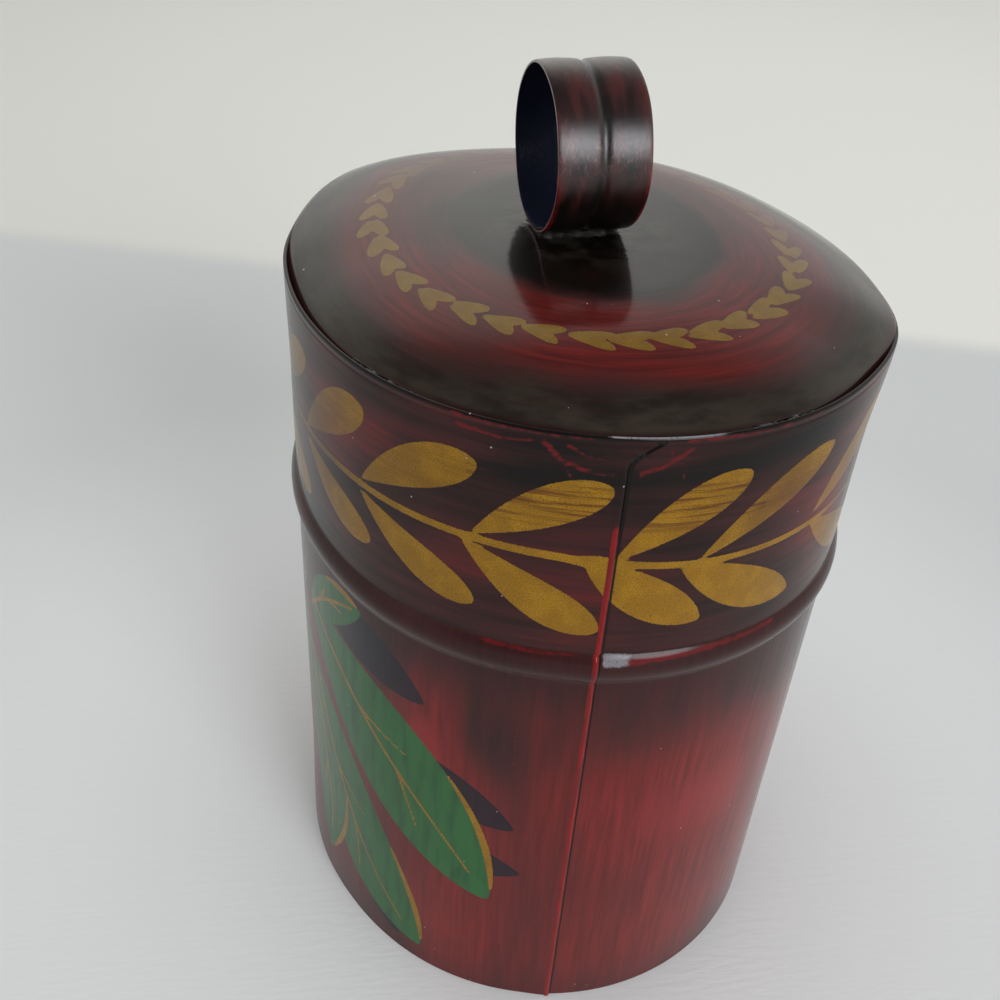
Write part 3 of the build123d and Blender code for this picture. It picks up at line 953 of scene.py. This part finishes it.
# Lid band with its folded rim
def make_lid_band(materials):
    columns = wall_columns(BAND_STOPS)
    ring = columns[:-1]
    face = [MOUTH, MOUTH + 0.1], np.linspace(MOUTH + 0.5, RIM - 2.4, 60)
    face_z = np.concatenate([*face, np.linspace(RIM - 2.15, FOLD_CENTRE - 0.12, 9)])
    faces = len(face_z)
    turn = np.linspace(0, math.pi, 11)
    crease = -CREASE_DEPTH * np.exp(-(((face_z - (RIM - CREASE_BELOW)) / CREASE_WIDTH) ** 2))
    fold_foot = RIM - FOLD_DEPTH
    inner = [(-2 * FOLD, RIM - FOLD_DEPTH / 2), (-2 * FOLD, fold_foot), (-SHEET, fold_foot - 0.1)]
    inner = np.array(inner + [(-SHEET, z) for z in (130, 115, MOUTH)])
    z = np.concatenate([face_z, FOLD_CENTRE + FOLD * np.sin(turn), inner[:, 1]])
    painted_rows = len(z) - len(inner)
    offsets = np.concatenate([crease, FOLD * np.cos(turn) - FOLD, inner[:, 0]])
    offsets = np.repeat(offsets[:, None], len(ring), 1)
    heights = np.repeat(z[:, None], len(ring), 1)
    offsets[:faces] += band_lap(ring, heights[:faces])
    share = smooth(heights, MOUTH - 2, MOUTH + 8)
    points = wavy_wall(ring, offsets, heights, BAND_WAVES, share)
    points = uneven(points, smooth(heights, *LID_BULGE_HEIGHTS))
    sunk = (1 - front_share(points[..., :2])) * BACK_SINK
    points[..., 2] -= sunk * smooth(heights, 139.0, 142.5)
    mesh = grid_mesh("lid_shell", points, columns, z, range(painted_rows + 1, len(z)))
    band_paint(mesh, *wall_places(ring, heights, painted_rows))
    finish_piece(mesh, "lid", ["lid_band"], materials)


# Red brush marks of the band, under the rim on both sides of the seam
BAND_SCUFFS = [
    (1.2, 0.6, [(-12.5, 141.3), (-9.6, 138.4), (-5.2, 136.9), (-1.6, 136.8)]),
    (0.8, 0.4, [(-11.0, 140.2), (-8.6, 136.8), (-7.4, 135.0)]),
    (0.8, 0.4, [(-9.0, 141.2), (-6.0, 139.6), (-3.4, 139.4)]),
    (1.2, 0.6, [(1.8, 136.9), (5.0, 137.9), (8.0, 140.0), (9.6, 141.3)]),
    (0.8, 0.4, [(5.6, 141.0), (8.4, 138.6), (8.8, 135.8)]),
    (0.8, 0.4, [(-27.0, 142.5), (-18.0, 142.4), (-5.0, 142.5)]),
    (0.9, 0.45, [(-26.0, 141.0), (-18.0, 140.4), (-13.0, 141.2)]),
    (0.8, 0.4, [(8.0, 142.5), (22.0, 142.4), (34.0, 142.5)]),
    (0.6, 0.3, [(-14.0, 103.6), (-8.0, 102.9), (-3.0, 103.8)]),
]

# Spots where the band's gold is worn thin, and its darker and redder spots
BAND_FADES = [
    (28, 129, 10, 7, 0.52),
    (-34, 129, 13, 8, 0.15),
    (-58, 124, 10, 12, 0.62),
    (-74, 121, 8, 14, 0.65),
    (50, 121, 9, 14, 0.60),
]
BAND_TONES = [
    (-11, 137, 10, 6, 0.30),
    (8, 130, 10, 8, 0.15),
    (20, 138, 14, 4, 0.25),
    (-30, 116, 16, 7, -0.12),
    (-6, 103, 12, 3, -0.05),
    (26, 113, 18, 6, 0.10),
    (-42, 132, 6, 5, -0.30),
    (-52, 128, 7, 9, -0.20),
    (42, 119, 8, 8, -0.55),
    (34, 138, 8, 4, 0.30),
]


# Paint layers of the lid band
def band_paint(mesh, places, outside):
    u, z = places.T
    local = u - crack_place(z)
    tip_shade = smooth(z, 124.0, 129.0) * smooth(z, 137, 133) * (0.25 + 0.75 * (u > -24) * (u < 24))
    half = 0.20 + 0.22 * smooth(z, 120.0, 130.0) + 0.38 * smooth(z, 136.0, 141.0)
    # Painted highlight: a silver line along the crest of the rim's fold at the front
    crest = smooth(u, -4.5, -1.0) * smooth(u, 17.0, 11.0) * smooth(z, RIM - 0.16, RIM - 0.05)
    rubbed = ridge_share(local) * smooth(z, 129.0, 125.0)
    faded, tone = soft_spots(places, BAND_FADES), soft_spots(places, BAND_TONES)
    vine = paint_distance(places, wrapped(vine_shapes()))
    vertex_values(mesh, outside, NO_PAINT, gold_leaf=vine)
    # Painted shadow: a dark line along the lid's open lap, widening towards the rim
    vertex_values(mesh, outside & (z < RIM - 0.35), NO_PAINT, crack=half - np.abs(local - 0.22))
    vertex_values(mesh, outside, -1.5, scuff=scuff_distance(places, BAND_SCUFFS))
    vertex_values(mesh, outside, 0, ridge=rubbed, bare_patch=crest)
    vertex_values(mesh, True, 0, tip_shade=tip_shade, faded=faded, tone=tone)


# Wreath on the dome: pairs of small leaves round an oval, pointing anticlockwise
WREATH_REACH = (43.2, 37.8)
WREATH_PAIRS = 36
WREATH_LEAF = 7.4
WREATH_CENTRE = (-1.8, -0.2)

# Darker and redder spots of the dome, in (x, y)
DOME_TONES = [
    (34, -24, 8, 6, 0.40),
    (-10, -36, 14, 8, 0.15),
    (26, 30, 9, 7, 0.38),
    (-26, 22, 14, 10, 0.30),
    (-4, -24, 17, 8, 0.80),
    (-4, 26, 16, 8, 0.45),
    (22, 2, 5, 12, -0.30),
    (-28, -22, 10, 10, 0.35),
]


# Place on the wreath's oval at an angle, and its direction there
def wreath_place(angle):
    long, short = WREATH_REACH
    place = np.array(WREATH_CENTRE) + np.array([long * math.cos(angle), short * math.sin(angle)])
    return place, math.atan2(short * math.cos(angle), -long * math.sin(angle))


# Leaf outlines of the wreath in (x, y)
def wreath_shapes():
    shapes = []
    for k in range(WREATH_PAIRS):
        angle = 2 * math.pi * (k + 0.2) / WREATH_PAIRS
        for side in (-1, 1):
            jitter = random.normal(0, 1, 5)
            foot, course = wreath_place(angle + 0.010 * jitter[1])
            heading = course - side * math.radians(15 + 2.5 * jitter[2])
            across = np.array([math.sin(course), -math.cos(course)])
            foot = foot + (0.25 * side + 0.25 * jitter[0]) * across
            tip = foot + (WREATH_LEAF + 0.4 * jitter[3]) * np.array([math.cos(heading), math.sin(heading)])
            shapes.append(leaf_outline(foot, tip, 1.25 + 0.1 * jitter[4], 0.35 * side, WREATH_FORM, 14))
    return shapes


# Height of the dome's painted face: fuller at the back and sides, with a groove along the front
def painted_dome_height(offset, front):
    fullness = smooth(offset, -30.0, -5.0) * (front * FRONT_LIFT + (1 - front) * BACK_LIFT)
    groove = np.clip((offset - GROOVE_START) / (DOME_EDGE - GROOVE_START), 0, 1) ** 1.5
    curl = np.clip((offset + 0.8) / 0.7, 0, 1) ** 2 * BACK_CURL * (1 - front)
    return dome_height(offset) + fullness - groove * GROOVE_FALL * front - curl


# Faces of the dome, and shares of the way from the middle to the crown's ring
PAINTED, EDGE, UNDER = 0, 1, 2
CROWN_SHARES = (0.02, 0.2, 0.4, 0.6, 0.8)


# Rows of the dome, from the middle of its painted face to the middle of its underside: the offset
# from the outline, the share of the way to the crown's ring, and the face
def dome_rows():
    stretches = ((-CROWN_INSET, -28, 9), (-28, -10, 44), (-10, LAP_START, 16))
    outer = [np.linspace(*stretch)[:-1] for stretch in stretches]
    outer = np.concatenate(outer + [np.linspace(LAP_START, DOME_EDGE, 9)])
    under = np.linspace(DOME_EDGE - 0.5, -CROWN_INSET, 14)
    rows = [(-CROWN_INSET, share, PAINTED) for share in CROWN_SHARES] + [(o, 1, PAINTED) for o in outer]
    rows += [(DOME_EDGE, 1, EDGE)] + [(o, 1, UNDER) for o in under]
    return np.array(rows + [(-CROWN_INSET, share, UNDER) for share in reversed(CROWN_SHARES)]).T


# Dome: painted face, edge inside the folded rim, and underside
def make_dome(materials):
    columns = np.linspace(-AROUND / 2, AROUND / 2, 641)
    point, normal = outline(columns[:-1])
    front = front_share(point)
    reach, share, face = dome_rows()
    offset, shares, faces = reach[:, None], share[:, None], face[:, None]
    lapped = np.where(faces == PAINTED, np.clip((offset - LAP_START) / (DOME_EDGE - LAP_START), 0, None), 0)
    offsets = offset + lapped * (1 - front) * (BACK_EDGE - DOME_EDGE)
    level = np.select(
        [shares < 1, faces == PAINTED, faces == EDGE],
        [CROWN - SHEET * (faces == UNDER), painted_dome_height(offsets, front), RIM - FOLD_DEPTH],
        dome_height(offset, SHEET),
    )
    points = np.dstack([(point + offsets[..., None] * normal) * shares[..., None], level])
    points[..., 2] += unevenness(points, *DOME_WAVES) * smooth(offset, -2.0, -9.0)
    plan = points[..., :2].reshape(-1, 2).copy()
    points = uneven(points, smooth(offset, -34.0, -3.0))
    painted_rows = int((face == PAINTED).sum())
    down = reach - 2 * (1 - share)
    mesh = grid_mesh("dome_shell", points, columns, down, range(painted_rows, len(down)), False)
    close_ends(mesh, len(point))
    outside = np.repeat(face == PAINTED, len(point))
    inset, faded = np.repeat(-reach, len(point)), smooth(plan[:, 0] - 0.3 * plan[:, 1], 6.0, -30.0)
    vertex_values(mesh, outside, NO_PAINT, gold_leaf=paint_distance(plan, wreath_shapes(), 2.0))
    vertex_values(mesh, True, 0, inset=inset, centre_distance=np.hypot(*plan.T))
    vertex_values(mesh, True, 0, tone=soft_spots(plan, DOME_TONES), faded=0.12 + 0.62 * faded)
    finish_piece(mesh, "lid", ["lid_dome"], materials)


# Closes the first and the last ring of a grid with one face each
def close_ends(mesh, count):
    work = bmesh.new()
    work.from_mesh(mesh)
    work.verts.ensure_lookup_table()
    work.faces.new(work.verts[:count])
    work.faces.new(work.verts[-count:]).material_index = 1
    work.to_mesh(mesh)
    work.free()


# Place and turn of the ring handle's foot, at a height over the origin
def ring_place(height):
    return Matrix.Translation((0, RING_SHIFT, height)) @ Matrix.Rotation(RING_BEARING, 4, "Z")


# Section of the strip as a closed line of (distance from the axis, place across)
def strip_section(depth):
    half = RING_WIDTH / 2
    across = np.linspace(-half, half, 49)
    lip = GROOVE_WIDTH / 2
    crown = (half + lip) / 2
    bulge = RING_CROWN * (1 - ((np.abs(across) - crown) / (half - crown)) ** 2)
    groove = -GROOVE_DEPTH * np.cos(across / lip * math.pi / 2)
    line = RING_RADIUS - RING_CROWN - depth + np.where(np.abs(across) < lip, groove, bulge)
    nip = 0.10 * smooth(np.abs(across), half - 0.12, half)
    outer = np.stack([line - nip, across], -1)
    inner = np.stack([line - RING_SHEET + nip, across], -1)[::-1]
    return np.concatenate([outer, inner])


# A stretch of the ring's strip: the whole hoop, or the tail lapped inside it
def ring_stretch(first, sweep, steps, depth, is_tail):
    line, across = strip_section(depth).T[..., None]
    turns = first + np.linspace(0, sweep, steps + 1)
    lengths = RING_RADIUS * turns
    turns = turns if is_tail else turns[:-1]
    radius = line + 0.05 * np.sin(3 * turns + 1.0) + 0.03 * np.sin(7 * turns) - 0.08
    sway = across + 0.05 * np.sin(5 * turns)
    points = np.stack([radius * np.cos(turns), sway, -radius * np.sin(turns)], -1)
    place = np.array(ring_place(CROWN + RING_LIFT) @ Matrix.Rotation(RING_LEAN, 4, "X"))
    points = points @ place[:3, :3].T + place[:3, 3]
    inside = range(len(line)) if is_tail else range(len(line) // 2, len(line) - 1)
    mesh = grid_mesh("ring_part", points, lengths, across[:, 0], inside, strip=is_tail)
    height = -np.sin(turns)
    rim = smooth(np.abs(across), RING_WIDTH / 2 - 0.9, RING_WIDTH / 2 - 0.1)
    groove = smooth(np.abs(across), GROOVE_WIDTH / 2 + 0.3, GROOVE_WIDTH / 2 - 0.3)
    edge = rim * (0.15 + 0.85 * smooth(height, 0.45, 0.05))
    # Painted shade: darker at the ring's bottom and in its groove
    dark = 0.55 * smooth(height, -0.1, -0.75) + 0.25 * groove
    everywhere = np.full(edge.shape, True)
    # Pink wear, partly a painted highlight: a band a little above the middle of the hoop
    worn = np.exp(-(((height - 0.16) / 0.20) ** 2))
    vertex_values(mesh, everywhere, 0, edge=edge, dark_zone=dark, worn=worn)
    return mesh


# Ring handle: the strip's full turn and its tail, lapped inside at the foot
def make_ring(materials):
    hoop = ring_stretch(0.0, 2 * math.pi, 200, 0.0, False)
    tail = ring_stretch(TAIL_START, TAIL_SWEEP, 36, RING_SHEET, True)
    mesh = joined_mesh("ring_strip", [hoop, tail])
    finish_piece(mesh, "lid", ["ring_handle"], materials, 50.0)


# Solder piled in the wedge between the ring's foot and the dome: a lumpy pad, closed all round
PAD_REACH = 7.2
PAD_HEIGHT = 0.6
PAD_SUNK = 0.06
PAD_DEPTH = 0.35


def pad_height(x, y):
    here = Vector((x, y, 0))
    lumps = noise.noise(here / 1.6) + 0.4 * noise.noise(here / 0.7)
    edge = noise.noise(here / 2.4 + Vector((9, 4, 2)))
    half = (RING_WIDTH - 1.0) / 2
    pile = smooth(abs(x) + 1.2 * edge, 5.0, 3.4) * smooth(abs(y) + 0.4 * edge, half, half - 1.2)
    wedge = x**2 / (2 * RING_RADIUS) + 0.10 if abs(y) < RING_WIDTH / 2 else math.inf
    return min(PAD_HEIGHT * pile * (1 + 0.4 * lumps), wedge)


def make_foot_solder(material):
    xs = np.linspace(-PAD_REACH, PAD_REACH, 73)
    reach = RING_WIDTH / 2 + 0.3
    ys = np.linspace(-reach, reach, 95)
    height = np.array([[pad_height(x, y) for y in ys] for x in xs])
    work = bmesh.new()
    made = {}

    def corner(layer, i, j):
        if (layer, i, j) not in made:
            z = CROWN - PAD_SUNK + max(height[i, j], 0) if layer == "top" else CROWN - PAD_DEPTH
            made[layer, i, j] = work.verts.new(ring_place(0) @ Vector((xs[i], ys[j], z)) * MM)
        return made[layer, i, j]

    cells = [
        (i, j)
        for i, j in np.ndindex(len(xs) - 1, len(ys) - 1)
        if height[i : i + 2, j : j + 2].max() > 0.02
    ]
    for i, j in cells:
        square = [(i, j), (i + 1, j), (i + 1, j + 1), (i, j + 1)]
        work.faces.new([corner("top", *spot) for spot in square])
        work.faces.new([corner("floor", *spot) for spot in reversed(square)])
        for index, beside in enumerate([(i, j - 1), (i + 1, j), (i, j + 1), (i - 1, j)]):
            if beside not in cells:
                first, second = square[index], square[(index + 1) % 4]
                wall = [("top", *second), ("top", *first), ("floor", *first), ("floor", *second)]
                work.faces.new([corner(*spot) for spot in wall])
    mesh = written_mesh(work, "foot_solder")
    finish_piece(mesh, "lid", ["handle_solder"], [material], 60.0)


# Gritty lumps of painted-over solder in the corner of the rolled rim: bearing about the oval's end
# and length of each
RIM_LUMPS = [(-52, 21.0), (21, 15.0)]
LUMP_RADIUS = 0.5
LUMP_PLACE = (-1.05, RIM - 1.0)


def make_rim_lumps(material):
    lumps = []
    turn = np.linspace(0, 2 * math.pi, 17)[:-1, None]
    for bearing, length in RIM_LUMPS:
        run = np.linspace(-length / 2, length / 2, 97)
        taper = np.clip(1 - (2 * run / length) ** 4, 0.01, 1) ** 0.5
        columns = (math.radians(bearing) - SEAM_BEARING) * END_RADIUS + run

        def tube(grit):
            radius = (LUMP_RADIUS + grit) * taper
            offsets = LUMP_PLACE[0] + radius * np.cos(turn)
            return wall_points(columns, offsets, LUMP_PLACE[1] + radius * np.sin(turn))

        grit = unevenness(tube(0), 0.9, 0.42, 31.0) + unevenness(tube(0), 3.0, 0.35, 5.0)
        lumps.append(grid_mesh("lump_part", tube(grit), run, turn[:, 0], strip=True))
    finish_piece(joined_mesh("rim_lumps", lumps), "lid", None, [material], 60.0)


# Gives CAD nodes a material
def dress_nodes(nodes, material):
    for node in nodes:
        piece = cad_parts[node]
        piece.data.materials.clear()
        piece.data.materials.append(material)


# Pale cloth on a cream table: the cloth ends along a straight edge behind the box, in metres
FLOOR_HALF = 3.0
CLOTH_EDGE_NORMAL = (-0.952, 0.307, 0)
CLOTH_EDGE_DISTANCE = 0.2865
CLOTH_EDGE_BLUR = 0.012


def floor_material():
    paint = Paint("pale_floor", "Object")
    x, y, _ = paint.split(paint.places)
    squared = paint.math("MULTIPLY_ADD", x, x, paint.times(y, y))
    cloth = paint.mix(paint.noise(5.0, 2.0, 0.5), *CLOTHS)
    # Painted light: the cloth is lighter near the box, which lifts the box's shadow on it
    cloth = paint.mix(paint.step(squared, 0.050, 0.004), cloth, CLOTH_BRIGHT)
    limits = CLOTH_EDGE_DISTANCE - CLOTH_EDGE_BLUR, CLOTH_EDGE_DISTANCE + CLOTH_EDGE_BLUR
    edge = paint.step(paint.dot(CLOTH_EDGE_NORMAL), *limits)
    table = paint.mix(paint.step(y, -0.8, 0.5), *TABLES)
    fibre = paint.noise((700, 130, 1), 2.0, 0.5)
    paint.set(Base_Color=paint.mix(edge, cloth, table), Roughness=0.7, Specular_IOR_Level=0.2)
    paint.set(Normal=paint.bump(fibre, 0.00015, 0.6))
    return paint.owner


def make_floor():
    mesh = bpy.data.meshes.new("floor")
    corners = [(x * FLOOR_HALF, y * FLOOR_HALF, 0) for x, y in ((-1, -1), (1, -1), (1, 1), (-1, 1))]
    mesh.from_pydata(corners, [], [(0, 1, 2, 3)])
    mesh.materials.append(floor_material())
    floor = add_object("floor", mesh)
    floor.location.z = -0.0001


# Soft surroundings: pale walls, brighter high up behind the box, darker on the camera's side, and a
# window. Each lobe has its direction, the cosines between which it comes in, and its colour.
WORLD_GROUND = (0.66, 0.66, 0.645, 1)
WORLD_LOBES = [
    ((0, 0, 1), 0.50, 0.80, (0.12, 0.12, 0.12, 1)),
    ((-0.87, 0.0, 0.48), 0.90, 0.985, (1.05, 1.05, 1.0, 1)),
    ((0.93, -0.15, 0.10), 0.45, 0.90, (0.20, 0.20, 0.21, 1)),
    ((0.865, 0.367, 0.342), 0.95, 0.988, (9.0, 9.0, 9.4, 1)),
]


def make_world():
    paint = Paint("studio", "Generated", world=True)
    bpy.context.scene.world = paint.owner
    colour = WORLD_GROUND
    for direction, low, high, lobe_colour in WORLD_LOBES:
        share = paint.step(paint.dot(Vector(direction).normalized()), low, high)
        colour = paint.mix(share, colour, lobe_colour)
    paint.set(Color=colour, Strength=1.0)


# Soft overhead light that shows in no reflection
def make_light():
    light = bpy.data.lights.new("overhead", "AREA")
    light.shape = "SQUARE"
    light.size = 2.4
    light.energy = 17.3
    lamp = add_object("overhead", light)
    lamp.location = (0, 0, 1.6)
    lamp.visible_glossy = False


# Camera at the photograph's place
def make_camera():
    data = bpy.data.cameras.new("camera")
    data.lens = CAMERA_LENS
    data.sensor_width = CAMERA_SENSOR
    data.clip_start = 0.01
    data.clip_end = 20
    camera = add_object("camera", data)
    turn = Matrix.Rotation(CAMERA_AZIMUTH, 4, "Z")
    turn @= Matrix.Rotation(math.pi / 2 - CAMERA_ELEVATION, 4, "X")
    turn @= Matrix.Rotation(CAMERA_ROLL, 4, "Z")
    camera.matrix_world = Matrix.Translation(CAMERA_PLACE) @ turn
    bpy.context.scene.camera = camera


make_camera()
make_world()
make_light()
make_floor()

tin = tin_material()
inner_solder = solder_material("solder", SOLDER_GREY, TIN_DULL)
rim_solder = solder_material("rim_solder", GROOVE_RED, SOLDER_GREY, 0.5)
make_body_wall([body_material(), tin])
make_lid_band([band_material(), tin])
make_dome([dome_material(), tin])
make_ring([ring_material(), indigo_material()])
make_foot_solder(solder_material("foot_solder", SOLDER_DARK, SOLDER_GREY))
make_rim_lumps(rim_solder)
dress_nodes(["body_bottom", "inner_collar"], tin)
dress_nodes(["bottom_solder", "collar_solder", "side_seam_solder", "lid_seam_solder"], inner_solder)
dress_nodes(["lid_rim_solder"], rim_solder)

bpy.context.scene.view_settings.view_transform = "Standard"
